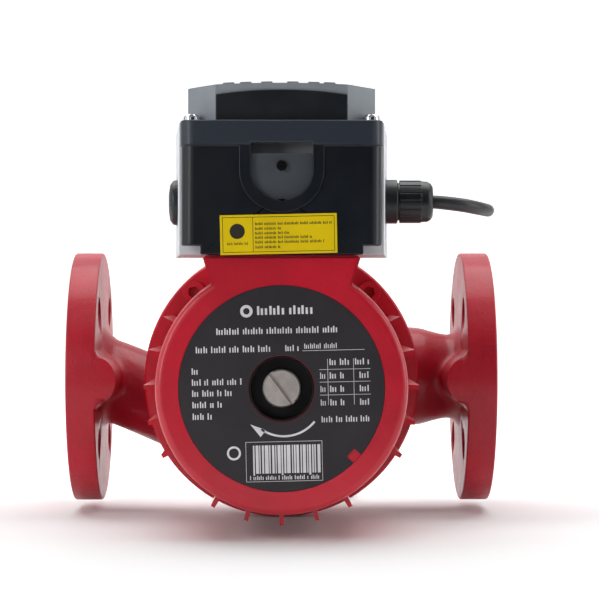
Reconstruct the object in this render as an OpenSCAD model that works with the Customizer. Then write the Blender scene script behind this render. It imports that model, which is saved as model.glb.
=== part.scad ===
// Wet-rotor circulator pump with flanged in-line connections and a top terminal box.
// The pipe axis runs along X, the motor axis along Y with the motor at -Y, and +Z is up.
// Every module below is drawn about the point where the two axes cross; placed() then
// lifts the pump so that it stands on Z = 0 with its depth centred on the origin.

/* [Pipe connections] */
// Distance between the two pipe flange faces
face_to_face = 250; // [246:1:256]
// Outside diameter of a pipe flange
flange_d = 150; // [144:1:154]
// Thickness of a pipe flange
flange_t = 17; // [15:1:19]
// Bore of the pipe connection
bore_d = 40; // [38:1:40]
// Bolt circle of a pipe flange
bolt_circle_d = 110; // [106:1:112]
// Bolt hole in a pipe flange
bolt_hole_d = 19; // [14:1:19]
// Outside radius of the pipe stubs
stub_r = 24.5; // [24:0.5:26]
// Radius of the blind tapping bosses beside the flanges
boss_r = 15; // [13:0.5:15.5]

/* [Pump end] */
// Outside radius of the joint flange between motor and pump
joint_r = 80; // [79:0.5:82]
// Bolt circle radius of the joint flange
joint_bolt_r = 72; // [71.5:0.5:72.5]
// Outside radius of the impeller
impeller_r = 54; // [48:1:55]
// Number of impeller vanes
vane_count = 6; // [5:1:8]

/* [Motor] */
// Radius of the motor barrel between the fins
barrel_r = 64; // [63:0.5:65]
// Radius over the cooling fins
fin_r = 73.5; // [70:0.5:75]
// Thickness of a fin at its root
fin_root_t = 3.5; // [2.5:0.1:4]
// Thickness of a fin at its tip
fin_tip_t = 2.2; // [1.6:0.1:2.4]
// Radius of the front ring of the motor
ring_r = 66.7; // [65.5:0.1:68]
// Radius of the round nameplate
nameplate_r = 54.2; // [50:0.1:56]
// Radius of the vent well in the middle of the motor front
well_r = 17.3; // [16.5:0.1:18]
// Radius of the slotted vent plug
vent_head_r = 10.1; // [9.5:0.1:10.5]

/* [Terminal box] */
// Half-width of the black front cover
cover_hw = 52.8; // [52.5:0.1:53.5]
// Half-width of the light grey box at its front
box_hw = 54.2; // [54:0.1:54.4]
// Half-width of the light grey box at its back
box_back_hw = 60.5; // [60:0.1:61]
// Half-width of the domed lid
lid_hw = 49.8; // [49:0.1:49.9]
// Height of the lid above its seat at mid-width
lid_rise = 20.1; // [18:0.1:23]
// Outer radius of the U-shaped window bezel
bezel_r = 22.3; // [21:0.1:23]
// Inner radius of the U-shaped window bezel
window_r = 16.2; // [15:0.1:16.5]

/* [Supply cable] */
// Outside diameter of the supply cable
cable_d = 7; // [6.8:0.1:7.2]
// Radius of the coil at the middle of its turns
coil_r = 40; // [39:1:42]

/* [Hidden] */
$fn = 96;

// Place of the axes' crossing above and behind the origin
axis_z = joint_r;
front_y = -197;
axis_y = -(front_y + flange_d / 2) / 2;

// Stations along the motor axis
joint_y = -48;
gasket_half = 0.3;
flange_front_y = -60;
motor_front_y = -192;
cavity_front_y = -178;
fin_front_y = -175;
cavity_r = 58.5;

// Pump end
end_x = face_to_face / 2;
inner_x = end_x - flange_t;
bore_r = bore_d / 2;
bore_length = 35;
suction_y = 8;
volute_back_y = -18;
volute_r0 = 57;
volute_growth = 9;
casting_wall = 7;
eye_r = 22;
plate_r = 66;

// Turned parts that share a diameter
shaft_r = 7;
bearing_r = 12;
running_gap = 0.05;
seat_gap = 0.1;
can_r = 37.6;
can_wall = 0.5;

// Terminal box stations
neck_top_z = 70;
box_z = 70.6;
rim_z = 140.7;
ledge_z = 138.2;
lid_seat_z = 139.4;
cover_front_y = -196;
split_y = -178;
box_back_y = -84;
rim_hw = 50.3;
ledge_hw = 44;
lid_front_y = -190;
lid_back_y = -90;
lid_corner = 15;
lid_top_z = 140.7 + lid_rise;
lid_arch_r = 650;
lid_screw_x = 47.4;
lid_screw_ys = [-185, -93.5];
entry_y = -125;
entry_z = 101;
plug_z = 100.4;
entry_flat_x = 56.4;
entry_nut_x = 51;
earth_at = [-41, -107];
window_z = 114.6;
window_top_z = 129;

// Supply cable: route of the stretch that is not coiled, about the crossing of the axes
cable_r = cable_d / 2;
cable_exit_x = 83.6;
route = [
    [83.6, -125, 101], [89, -125, 100.8], [102, -121.5, 99.4], [112.8, -111, 97.7], [117.2, -96.5, 97.3],
    [113.2, -81.8, 98.8], [103, -71, 101.2], [89, -66.8, 103], [76, -66.5, 103.4], [62, -66, 102],
    [48, -65, 98.7], [36, -61, 94.4], [26, -54, 90.2], [19, -44, 86.5], [15.5, -32, 83], [14, -18, 78],
    [14, -4, 70.5], [14.5, 10, 60], [16, 24, 45], [18, 35, 27], [20.5, 41.5, 7], [24, 44, -14],
    [28.5, 46, -34], [33, 50.5, -52], [37.5, 59.5, -66], [41, 70, -73], [43.2, 81, -75.5], [43.5, 98, -75.7]
];
coil_centre = [0, 104];
coil_bottom_z = -79.3;
coil_half_w = 7.2;
coil_h = 14.2;
tie_t = 0.6;

// ---------- helpers ----------

// Puts the pump on its standing plane.
module placed() {
    translate([0, axis_y, axis_z]) children();
}

// A turned solid about the motor axis, from its outline as [radius, y] points.
module turned(outline) {
    rotate([-90, 0, 0]) rotate_extrude() polygon(outline);
}

// A turned solid about the line through [0, y, z] along X, from [radius, x] points.
module turned_x(y, z, outline) {
    translate([0, y, z]) rotate([90, 0, 90]) rotate_extrude() polygon(outline);
}

// A plain disc about the motor axis between two stations.
module disc_y(r, y0, y1) {
    translate([0, y0, 0]) rotate([-90, 0, 0]) cylinder(r = r, h = y1 - y0);
}

// A flat ring about the motor axis.
module ring_y(r_out, r_in, y0, y1) {
    turned([[r_in, y0], [r_out, y0], [r_out, y1], [r_in, y1]]);
}

// A round bar along Y at a point of the front view.
module pin_y(x, z, r, y0, y1) {
    translate([x, 0, z]) disc_y(r, y0, y1);
}

// A round bar along Z.
module pin_z(x, y, r, z0, z1) {
    translate([x, y, z0]) cylinder(r = r, h = z1 - z0);
}

// A round bar between any two points.
module rod(a, b, r) {
    v = b - a;
    len = norm(v);
    translate(a) rotate([0, acos(v[2] / len), atan2(v[1], v[0])]) cylinder(r = r, h = len);
}

// A bar along a chain of points, with ball joints that stand a little proud.
module bent_rod(points, r) {
    proud = 0.4;
    for (i = [0 : len(points) - 2]) rod(points[i], points[i + 1], r);
    for (i = [1 : len(points) - 2]) translate(points[i]) sphere(r = r + proud);
}

// Direction of a path at a point, from its neighbours.
function path_dir(path, i) =
    let (a = path[max(i - 1, 0)], b = path[min(i + 1, len(path) - 1)]) (b - a) / norm(b - a);

// One ring of a tube's surface around a point of its path, laid out from a direction it never follows.
function tube_ring(path, i, r, sides, away) =
    let (d = path_dir(path, i), side = cross(d, away), u = side / norm(side), w = cross(d, u))
    [for (k = [0 : sides - 1]) path[i] + r * (cos(360 * k / sides) * u + sin(360 * k / sides) * w)];

// A round tube swept along a path, with flat ends.
module tube(path, r, sides, away) {
    last = len(path) - 1;
    points = [for (i = [0 : last]) each tube_ring(path, i, r, sides, away)];
    walls = [for (i = [0 : last - 1], k = [0 : sides - 1])
        let (a = i * sides + k, b = i * sides + (k + 1) % sides)
            each [[a, a + sides, b + sides], [a, b + sides, b]]];
    first_cap = [for (k = [0 : sides - 1]) k];
    last_cap = [for (k = [sides - 1 : -1 : 0]) last * sides + k];
    polyhedron(points, concat([first_cap, last_cap], walls));
}

// A slab between two Y stations, drawn as its front view in X and Z.
module slab(y0, y1) {
    translate([0, y1, 0]) rotate([90, 0, 0]) linear_extrude(y1 - y0) children();
}

// A box from its low and high corners.
module block(low, high) {
    translate(low) cube(high - low);
}

// A rectangle with round corners.
module soft_rect(x0, x1, y0, y1, r) {
    translate([x0 + r, y0]) square([x1 - x0 - 2 * r, y1 - y0]);
    translate([x0, y0 + r]) square([x1 - x0, y1 - y0 - 2 * r]);
    for (x = [x0 + r, x1 - r], y = [y0 + r, y1 - r]) translate([x, y]) circle(r = r, $fn = 48);
}

// Places its children at the four joint bolts.
module at_joint_bolts() {
    for (a = [45 : 90 : 315]) rotate([0, a, 0]) translate([joint_bolt_r, 0, 0]) children();
}

// ---------- pump end ----------

// Outline of the volute, which grows clockwise from the tongue at the left.
function volute_outline(extra) = [
    for (i = [0 : 39])
        let (a = 180 - 9 * i, r = volute_r0 + volute_growth * i / 39 + extra)
        [r * cos(a), r * sin(a)]
];

// Centre line of the discharge branch, from its flange to the lower left of the volute.
discharge_line = [[-101, 0, -2], [-84, -3, -9], [-64, -11, -17], [-40, -22, -28]];
// Centre line of the suction branch, from its flange to the impeller eye.
suction_line = [[97, 0, 0], [0, suction_y, 0]];

module pipe_flange(side) {
    edge = 1.5;
    stub_end = 92;
    turned_x(0, 0, [
        [0, side * stub_end], [stub_r, side * stub_end],
        [stub_r, side * inner_x], [flange_d / 2 - edge, side * inner_x],
        [flange_d / 2, side * (inner_x + edge)], [flange_d / 2, side * (end_x - edge)],
        [flange_d / 2 - edge, side * end_x], [0, side * end_x]
    ]);
}

module pipe_flange_holes(side) {
    overrun = 1;
    for (a = [45 : 90 : 315])
        rotate([a, 0, 0]) translate([side * (inner_x - overrun), bolt_circle_d / 2, 0])
            rotate([0, side * 90, 0]) cylinder(r = bolt_hole_d / 2, h = flange_t + 2 * overrun);
    rod([side * (end_x - bore_length), 0, 0], [side * (end_x + overrun), 0, 0], bore_r);
}

module tapping_boss(side) {
    boss_x = end_x - boss_r - 0.3;
    pin_y(side * boss_x, 0, boss_r, -flange_d / 2 - 0.4, -6);
}

module pump_housing() {
    flange_back_y = -36;
    color("firebrick") placed() difference() {
        union() {
            for (side = [-1, 1]) {
                pipe_flange(side);
                tapping_boss(side);
            }
            rod(suction_line[0], suction_line[1], stub_r - 0.3);
            bent_rod(discharge_line, stub_r - 0.8);
            slab(joint_y + gasket_half, volute_back_y + casting_wall)
                polygon(volute_outline(casting_wall));
            disc_y(joint_r, joint_y + gasket_half, flange_back_y);
            turned([[0, -14], [62, -14], [54, -2], [40, 14], [30, 30], [16, 37], [0, 38]]);
        }
        for (side = [-1, 1]) pipe_flange_holes(side);
        // water way in
        rod([95, 0, 0], suction_line[1], 17);
        turned([[0, -13], [24, -13], [24, 16], [17, 26], [0, 29]]);
        // water way out
        bent_rod([[-95, 0, -1], [-75, -7, -13], [-44, -20, -26]], 14.5);
        // volute, impeller eye and motor register
        slab(joint_y + 2, volute_back_y) polygon(volute_outline(0));
        disc_y(26, volute_back_y - 1, -12.5);
        disc_y(plate_r + seat_gap, joint_y - 1, joint_y + 3);
        at_joint_bolts() disc_y(4.05, joint_y - 1, -37);
    }
}

module neck_ring() {
    color("darkkhaki") placed() ring_y(25.95, eye_r + 0.3, -18, -12.6);
}

module housing_gasket() {
    color("dimgray") placed() difference() {
        ring_y(joint_r - 0.6, plate_r + 0.6, joint_y - gasket_half + 0.02, joint_y + gasket_half - 0.02);
        at_joint_bolts() disc_y(4.5, joint_y - 2, joint_y + 2);
    }
}

// ---------- rotor ----------

module impeller() {
    hub_r = 12;
    back_y = -43;
    shroud_y = -27;
    plate_t = 2.2;
    vane_t = 2;
    color("lightgray") placed() difference() {
        union() {
            ring_y(impeller_r, shaft_r - 3, back_y, back_y + plate_t);
            ring_y(hub_r, shaft_r - 3, back_y, -24);
            turned([[impeller_r, shroud_y - plate_t], [impeller_r, shroud_y], [eye_r + 2, shroud_y + 4],
                [eye_r, shroud_y + 5], [eye_r, -13], [eye_r - 2, -13], [eye_r - 2, shroud_y + 3],
                [eye_r, shroud_y + 2]]);
            for (i = [0 : vane_count - 1])
                rotate([0, i * 360 / vane_count, 0])
                    slab(back_y + 1, shroud_y - 1) impeller_vane(vane_t);
        }
        disc_y(4.05, back_y - 1, -10);
        disc_y(shaft_r + running_gap, back_y - 1, -32);
    }
}

// One backward-swept vane, as an arc between the hub and the rim.
module impeller_vane(t) {
    arc_r = 38;
    arc_x = 8;
    arc_z = 35;
    intersection() {
        translate([arc_x, arc_z]) difference() {
            circle(r = arc_r + t / 2);
            circle(r = arc_r - t / 2);
        }
        difference() {
            circle(r = impeller_r - 0.3);
            circle(r = 17);
        }
        translate([10, -60]) square([60, 90]);
    }
}

module impeller_nut() {
    color("gainsboro") placed() difference() {
        translate([0, -23.7, 0]) rotate([-90, 0, 0]) cylinder(r = 7.5, h = 5, $fn = 6);
        disc_y(4.05, -30, 0);
    }
}

module shaft() {
    color("silver") placed() turned([[0, -171], [shaft_r - 0.5, -171], [shaft_r, -170.5], [shaft_r, -32.2],
        [4, -32.2], [4, -18.2], [0, -18.2]]);
}

module rotor_core() {
    color("slategray") placed() {
        ring_y(36.5, shaft_r + running_gap, -150, -70);
        ring_y(34, 20, -155, -150);
        ring_y(34, 20, -70, -65);
    }
}

module rotor_sleeve() {
    color("silver") placed() turned([[36.6, -157], [37, -157], [37, -63], [36.6, -63]]);
}

module thrust_ring() {
    color("dimgray") placed() ring_y(14, shaft_r + running_gap, -63.5, -59.3);
}

// ---------- bearings, can and stator ----------

module bearing(y0, y1) {
    color("dimgray") placed() ring_y(bearing_r, shaft_r + running_gap, y0, y1);
}

module inner_bearing() {
    bearing(-59, -46);
}

module outer_bearing() {
    bearing(-172, -160);
}

module bearing_plate() {
    seat = bearing_r + running_gap;
    color("gray") placed() turned([
        [seat, -58], [16, -58], [16, -52], [33, -52], [33, -56], [can_r - 0.1, -56],
        [can_r - 0.1, -48.2], [plate_r, -48.2], [plate_r, -45.2], [seat, -45.2]
    ]);
}

module rotor_can() {
    outer = can_r + can_wall;
    nose = bearing_r + 1.2;
    color("silver") placed() turned([
        [can_r, -48.4], [44, -48.4], [44, -49], [outer, -49], [outer, -160.5], [nose, -160.5],
        [nose, -175], [8, -175], [8, -173], [bearing_r + running_gap, -173],
        [bearing_r + running_gap, -159.9], [can_r, -159.9]
    ]);
}

module can_seal_ring() {
    color("black") placed() rotate([-90, 0, 0]) translate([0, 0, -51.4]) rotate_extrude()
        translate([40.5, 0]) circle(r = 1.9, $fn = 32);
}

module stator_core() {
    color("darkgray") placed() difference() {
        ring_y(cavity_r - seat_gap, can_r + can_wall + 0.5, -150, -70);
        for (a = [0 : 15 : 345])
            rotate([0, a, 0]) translate([45, -151, -1.4]) cube([8, 82, 2.8]);
    }
}

module stator_windings() {
    inner = can_r + can_wall + 1.9;
    color("peru") placed() {
        turned([[inner, -152], [inner, -162], [inner + 3, -166], [54, -166], [56.5, -162], [56.5, -152]]);
        turned([[inner + 2, -68], [inner + 2, -56], [inner + 4, -54], [53, -54], [56.5, -58], [56.5, -68]]);
    }
}

// ---------- motor housing ----------

// Places its children at each cooling fin, counted from the bottom.
module at_fins() {
    for (a = [0, 15, 30, 60, 75, 90, 105, 120], side = [-1, 1])
        if (a > 0 || side > 0) rotate([0, 90 + side * a, 0]) children();
}

module fin() {
    translate([0, fin_front_y, 0]) rotate([-90, 0, 0]) linear_extrude(flange_front_y + 2 - fin_front_y)
        polygon([[barrel_r - 2, -fin_root_t / 2], [fin_r, -fin_tip_t / 2],
            [fin_r, fin_tip_t / 2], [barrel_r - 2, fin_root_t / 2]]);
}

module motor_neck() {
    edge = 1.5;
    slab(motor_front_y + edge, -96)
        polygon([[-35.6, 50], [35.6, 50], [41.4, neck_top_z - edge], [41.4 - edge, neck_top_z],
            [edge - 41.4, neck_top_z], [-41.4, neck_top_z - edge]]);
    slab(motor_front_y, -100)
        polygon([[-34.2, 50], [34.2, 50], [39.8, neck_top_z - edge], [-39.8, neck_top_z - edge]]);
}

module motor_housing() {
    round_r = 4;
    plate_seat = 0.9;
    color("firebrick") placed() difference() {
        union() {
            turned([[0, motor_front_y], for (a = [0 : 15 : 90])
                [ring_r - round_r + round_r * sin(a), motor_front_y + round_r - round_r * cos(a)],
                [ring_r, -177], [barrel_r, -175], [barrel_r, -62], [barrel_r + 2, flange_front_y],
                [joint_r - 1, flange_front_y], [joint_r, flange_front_y + 1],
                [joint_r, joint_y - gasket_half], [0, joint_y - gasket_half]]);
            at_fins() fin();
            motor_neck();
        }
        // stator bore, nameplate seat, vent well and the plug's way through
        disc_y(cavity_r, cavity_front_y, joint_y);
        disc_y(nameplate_r + 0.2, motor_front_y - 1, motor_front_y + plate_seat);
        disc_y(well_r, motor_front_y - 1, -181);
        disc_y(14, -182, cavity_front_y + 1);
        // bolt pockets in the joint flange
        at_joint_bolts() {
            disc_y(6.8, flange_front_y - 1, flange_front_y + 2);
            disc_y(4.4, flange_front_y - 1, joint_y);
        }
        // lead duct and screw holes in the neck
        block([-12, -173, 40], [12, -155, neck_top_z + 1]);
        at_box_screws() cylinder(r = 2.05, h = 12);
    }
}

// Places its children at the tips of the four screws that hold the terminal box to the neck.
module at_box_screws() {
    for (x = [-32, 32], y = [-168, -104]) translate([x, y, 60]) children();
}

module motor_bolts() {
    color("dimgray") placed() at_joint_bolts() difference() {
        union() {
            disc_y(4, flange_front_y + 1, -38);
            disc_y(6.5, flange_front_y - 6, flange_front_y + 2);
        }
        translate([0, flange_front_y - 7, 0]) rotate([-90, 0, 0]) cylinder(r = 3.6, h = 5, $fn = 6);
    }
}

module nameplate() {
    tab = 6;
    color("dimgray") placed() difference() {
        ring_y(nameplate_r, well_r + 0.2, motor_front_y + 0.1, motor_front_y + 0.85);
        rotate([0, 43, 0]) translate([nameplate_r - 4.8, motor_front_y - 1, -tab / 2]) cube([tab, 3, tab]);
    }
}

// ---------- vent ----------

module vent_bush() {
    color("black") placed() turned([
        [8.2, -183.4], [well_r - 1.4, -183.4], [well_r - 1, motor_front_y + 0.6],
        [well_r - 0.1, motor_front_y + 0.6], [well_r - 0.1, -181.1], [13.8, -181.1],
        [13.8, -176.5], [8.2, -176.5]
    ]);
}

module vent_plug() {
    face_y = -189;
    seat_y = -185.2;
    nose_y = -172.3;
    color("silver") placed() difference() {
        turned([[0, face_y], [vent_head_r - 0.8, face_y], [vent_head_r, face_y + 0.8], [vent_head_r, seat_y],
            [7.95, seat_y], [7.95, nose_y - 0.8], [7, nose_y], [0, nose_y]]);
        rotate([0, 53, 0]) translate([-vent_head_r - 1, face_y - 1, -1.1])
            cube([2 * vent_head_r + 2, 3.2, 2.2]);
    }
}

module vent_seal_ring() {
    color("black") placed() ring_y(9.9, 8.25, -185.1, -183.7);
}

// ---------- terminal box ----------

module base_gasket() {
    color("black") placed() difference() {
        block([-39, -176, neck_top_z + 0.05], [39, -98, box_z - 0.05]);
        block([-12.5, -173.5, 60], [12.5, -154.5, 80]);
        at_box_screws() cylinder(r = 2.6, h = 20);
    }
}

module terminal_box() {
    wall = 3;
    inner = box_hw - wall;
    color("lightgray") placed() difference() {
        translate([0, 0, box_z]) linear_extrude(rim_z - box_z)
            soft_rect(-box_back_hw, box_back_hw, split_y, box_back_y, 4);
        // sides that widen towards the back, and flats for the cable entries
        for (side = [-1, 1])
            translate([0, 0, box_z - 1]) linear_extrude(rim_z - box_z + 2)
                polygon([[side * box_hw, split_y - 1], [side * 70, split_y - 1],
                    [side * 70, box_back_y + 1], [side * box_back_hw, box_back_y + 1]]);
        rod([entry_flat_x, entry_y, entry_z], [70, entry_y, entry_z], 14);
        rod([-entry_flat_x, entry_y, plug_z], [-70, entry_y, plug_z], 14);
        difference() {
            block([-inner, split_y + wall, box_z + 3.2], [inner, box_back_y - wall, 132]);
            for (side = [-1, 1])
                pin_z(side * lid_screw_x, lid_screw_ys[1], 5.5, box_z, 133);
        }
        block([-ledge_hw, split_y - 1, 131], [ledge_hw, box_back_y - 6, rim_z + 1]);
        block([-rim_hw, split_y - 1, ledge_z], [rim_hw, box_back_y - wall + 0.1, rim_z + 1]);
        block([-12, -173, 60], [12, -155, 80]);
        for (x = [-32, 32], y = [-168, -104]) pin_z(x, y, 2.2, 60, 80);
        for (side = [-1, 1]) {
            pin_z(side * lid_screw_x, lid_screw_ys[1], 2.05, 118, rim_z);
        }
        rod([45, entry_y, entry_z], [60, entry_y, entry_z], 10.1);
        rod([-45, entry_y, plug_z], [-60, entry_y, plug_z], 10.1);
        pin_z(earth_at[0], earth_at[1], 2.05, 60, 80);
    }
}

module box_screws() {
    color("silver") placed() at_box_screws() {
        translate([0, 0, 0.5]) cylinder(r = 2, h = 14);
        translate([0, 0, 13.9]) difference() {
            cylinder(r = 4, h = 2.6);
            translate([-4.5, -0.6, 1.4]) cube([9, 1.2, 2]);
        }
    }
}

// The U of the window in the front view: round below, straight sides, flat at the top.
module window_outline(r, top) {
    intersection() {
        union() {
            translate([0, window_z]) circle(r = r);
            translate([-r, window_z]) square([2 * r, top - window_z]);
        }
        translate([-r - 1, window_z - r - 1]) square([2 * r + 2, top - window_z + r + 1]);
    }
}

module front_cover() {
    wall = 2.5;
    band_z = 127.5;
    back = split_y - 0.1;
    corner = 7;
    color("darkslategray") placed() difference() {
        union() {
            translate([0, 0, 70.4]) linear_extrude(band_z - 70.4)
                soft_rect(-cover_hw, cover_hw, cover_front_y, back, corner);
            translate([0, 0, band_z]) linear_extrude(rim_z - band_z)
                soft_rect(-cover_hw - 0.5, cover_hw + 0.5, cover_front_y - 0.6, back, corner + 0.4);
        }
        difference() {
            block([wall - cover_hw, cover_front_y + wall, 70.4 + wall],
                [cover_hw - wall, back + 1, ledge_z - 2]);
            for (side = [-1, 1]) {
                pin_z(side * lid_screw_x, lid_screw_ys[0], 5, 70, rim_z);
                block([side * 49 - 4, cover_front_y, 70], [side * 49 + 4, lid_screw_ys[0], rim_z]);
            }
        }
        block([-ledge_hw, -190, 120], [ledge_hw, back + 1, rim_z + 1]);
        block([-rim_hw, -193.5, ledge_z], [rim_hw, back + 1, rim_z + 1]);
        for (side = [-1, 1]) {
            pin_z(side * lid_screw_x, lid_screw_ys[0], 2.05, 118, rim_z);
            block([side * 47.8 - 5, cover_front_y - 1, 70], [side * 47.8 + 5.2, back + 1, 75.1]);
        }
        slab(cover_front_y - 1, cover_front_y + wall + 1) window_outline(window_r, window_top_z);
    }
}

module window_bezel() {
    color("black") placed() slab(front_y, cover_front_y - 0.02) difference() {
        window_outline(bezel_r, 127.4);
        window_outline(window_r, window_top_z);
    }
}

module window_plate() {
    plate_top_z = 123.4;
    color("dimgray") placed() difference() {
        union() {
            slab(-194.2, -192.4) window_outline(window_r - 0.2, plate_top_z);
            slab(-193.4, -191.2) window_outline(window_r + 3, plate_top_z);
        }
        slab(-196, -193.5) window_outline(window_r + 4, plate_top_z + 1);
        block([-1.6, -195, 98], [1.6, -191, 99.6]);
        pin_y(0, 116.9, 1.55, -197, -190);
    }
}

module window_screw() {
    color("silver") placed() difference() {
        union() {
            pin_y(0, 116.9, 1.5, -194, -187);
            pin_y(0, 116.9, 2.7, -195.6, -193.55);
        }
        block([-3, -196, 116.5], [3, -195, 117.3]);
    }
}

module yellow_label() {
    color("gold") placed() translate([-1.6, 0, 81]) rotate([0, -1.2, 0])
        block([-30.6, cover_front_y - 0.25, -10.4], [30.6, cover_front_y - 0.02, 10.4]);
}

// Plan of the lid: a rectangle with its four corners cut off.
module lid_plan(inset) {
    x = lid_hw - inset;
    y0 = lid_front_y + inset;
    y1 = lid_back_y - inset;
    c = lid_corner - inset * 0.586;
    polygon([[-x, y0 + c], [c - x, y0], [x - c, y0], [x, y0 + c], [x, y1 - c], [x - c, y1],
        [c - x, y1], [-x, y1 - c]]);
}

// The arched solid under the lid's top face, between two heights.
module lid_dome(inset, z0) {
    intersection() {
        translate([0, 0, z0]) linear_extrude(lid_top_z + 5 - z0) lid_plan(inset);
        translate([0, 0, lid_top_z - inset - lid_arch_r])
            disc_y(lid_arch_r, lid_front_y - 5, lid_back_y + 5, $fn = 360);
    }
}

module lid() {
    wall = 2.6;
    rib_w = 6;
    rib_h = 0.8;
    color("darkgray") placed() difference() {
        union() {
            lid_dome(0, lid_seat_z);
            block([0.3 - rim_hw, -193.2, lid_seat_z], [rim_hw - 0.3, box_back_y - 3.2, 141]);
            for (x = [-27.9, -18.9, -7.8, 5.9, 17, 25.3])
                intersection() {
                    block([x - rib_w / 2, lid_front_y + 1, 150], [x + rib_w / 2, lid_back_y - 1, 175]);
                    translate([0, 0, lid_top_z + rib_h - lid_arch_r])
                        disc_y(lid_arch_r, lid_front_y, lid_back_y, $fn = 360);
                }
        }
        lid_dome(wall, lid_seat_z - 1);
        for (x = [-lid_screw_x, lid_screw_x], y = lid_screw_ys) pin_z(x, y, 2.15, lid_seat_z - 1, 142);
    }
}

module lid_panel() {
    panel_hw = lid_hw - lid_corner;
    panel_top_z = 157.2;
    panel_arch_r = 230;
    color("dimgray") placed() intersection() {
        block([-panel_hw + 0.1, lid_front_y - 1.2, 141.1], [panel_hw - 0.1, lid_front_y - 0.02, 170]);
        translate([0, 0, panel_top_z - panel_arch_r])
            disc_y(panel_arch_r, lid_front_y - 5, lid_front_y + 5, $fn = 360);
    }
}

module lid_gasket() {
    z0 = ledge_z + 0.05;
    z1 = lid_seat_z - 0.05;
    color("black") placed() difference() {
        block([-49.8, -193, z0], [49.8, -87.6, z1]);
        block([-44.4, -189.6, z0 - 1], [44.4, -90.5, z1 + 1]);
        for (x = [-lid_screw_x, lid_screw_x], y = lid_screw_ys) pin_z(x, y, 2.2, z0 - 1, z1 + 1);
    }
}

module lid_screws() {
    color("silver") placed() for (x = [-lid_screw_x, lid_screw_x], y = lid_screw_ys) translate([x, y, 0]) {
        translate([0, 0, 124]) cylinder(r = 2, h = 17.1);
        translate([0, 0, 141.05]) difference() {
            rotate_extrude() polygon([[0, 0], [4.55, 0], [4.55, 1.8], [3.6, 3.1], [2, 3.7], [0, 3.7]]);
            for (a = [0, 90]) rotate([0, 0, a]) translate([-2.4, -0.55, 1.6]) cube([4.8, 1.1, 3]);
        }
    }
}

// ---------- inside the terminal box ----------

terminal_xs = [-25, -15, -5, 5, 15, 25];
terminal_y = -124;

module terminal_block() {
    color("ivory") placed() difference() {
        block([-31, -133, 74], [31, -115, 90]);
        for (x = terminal_xs) {
            pin_z(x, terminal_y, 2.9, 84, 91);
            block([x - 2, -134, 77], [x + 2, -128.5, 81]);
            block([x - 2, -119.5, 77], [x + 2, -114, 81]);
        }
        for (x = [-20, -10, 0, 10, 20]) block([x - 0.6, -134, 86], [x + 0.6, -114, 91]);
    }
}

module terminal_screws() {
    color("goldenrod") placed() for (x = terminal_xs) translate([x, terminal_y, 84.1]) difference() {
        cylinder(r = 2.6, h = 4.4);
        translate([-3, -0.5, 3.2]) cube([6, 1, 2]);
    }
}

module earth_screw() {
    color("limegreen") placed() {
        pin_z(earth_at[0], earth_at[1], 2, 71.5, 76);
        translate([earth_at[0], earth_at[1], 74]) difference() {
            cylinder(r = 4, h = 4);
            translate([-4.5, -0.6, 2.8]) cube([9, 1.2, 2]);
        }
    }
}

module speed_switch() {
    color("darkslategray") placed() difference() {
        union() {
            block([-20, -111, 74], [20, -91, 92]);
            pin_z(0, -101, 7, 91, 95);
        }
        pin_z(0, -101, 3.06, 80, 100);
    }
}

module speed_knob() {
    color("orangered") placed() {
        pin_z(0, -101, 3, 82, 97);
        difference() {
            pin_z(0, -101, 9, 95.4, 104);
            translate([-1, -111, 103]) cube([2, 8, 2]);
            for (a = [30 : 60 : 330])
                translate([0, -101, 97]) rotate([0, 0, a + 90])
                    translate([11, 0, 0]) cylinder(r = 3.4, h = 8);
        }
    }
}

module motor_leads() {
    lead_r = 1;
    color("maroon") placed() for (i = [0 : 5]) {
        foot_x = -7.5 + 3 * i;
        top_x = terminal_xs[i];
        tube([[foot_x, -161, 58], [foot_x, -161, 74], [(foot_x + top_x) / 2, -153, 78], [top_x, -142, 79],
            [top_x, -133.2, 79]], lead_r, 8, [1, 0, 0]);
    }
}

// ---------- cable entries ----------

module blanking_plug() {
    color("black") placed() turned_x(entry_y, plug_z, [
        [0, -62.4], [6, -62.3], [10, -61.7], [12.2, -60], [12.5, -58.8], [12.5, -56.8],
        [9.8, -56.8], [9.8, -46], [8, -46], [8, -55], [0, -55]
    ]);
}

// A hexagon nut about the entry axis on one side, inside the box wall.
module entry_nut(side, z) {
    translate([side * entry_nut_x, entry_y, z]) rotate([0, -side * 90, 0]) difference() {
        cylinder(r = 13.5, h = 4, $fn = 6);
        translate([0, 0, -1]) cylinder(r = 9.95, h = 6);
    }
}

module blanking_plug_nut() {
    color("black") placed() entry_nut(-1, plug_z);
}

module gland_body() {
    color("black") placed() turned_x(entry_y, entry_z, [
        [7.4, 46], [9.85, 46], [9.85, 56.8], [12.2, 56.8], [12.2, 63.6], [11.6, 64.2], [10.4, 64.2],
        [10.4, 72], [7.4, 72]
    ]);
}

module gland_locknut() {
    color("black") placed() entry_nut(1, entry_z);
}

module gland_seal() {
    color("dimgray") placed() turned_x(entry_y, entry_z, [[cable_r + 0.05, 60], [7.2, 60], [7.2, 73], [5.6, 79],
        [cable_r + 0.05, 79]]);
}

module gland_nut() {
    flute_count = 16;
    color("black") placed() difference() {
        turned_x(entry_y, entry_z, [
            [10.7, 65.4], [11.9, 65.4], [11.9, 76.8], [11.4, 77.6], [11.2, 80.6], [10.2, 82.5],
            [8.6, cable_exit_x], [6.4, cable_exit_x], [5.4, 82.5], [cable_r + 0.3, 82.2],
            [cable_r + 0.3, 80.4], [6.2, 79.8], [7.7, 73.4], [10.7, 72.6]
        ]);
        for (i = [0 : flute_count - 1])
            translate([64, entry_y, entry_z]) rotate([i * 360 / flute_count, 0, 0]) translate([0, 12.5, 0])
                rotate([0, 90, 0]) cylinder(r = 1, h = 13.2);
    }
}

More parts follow.
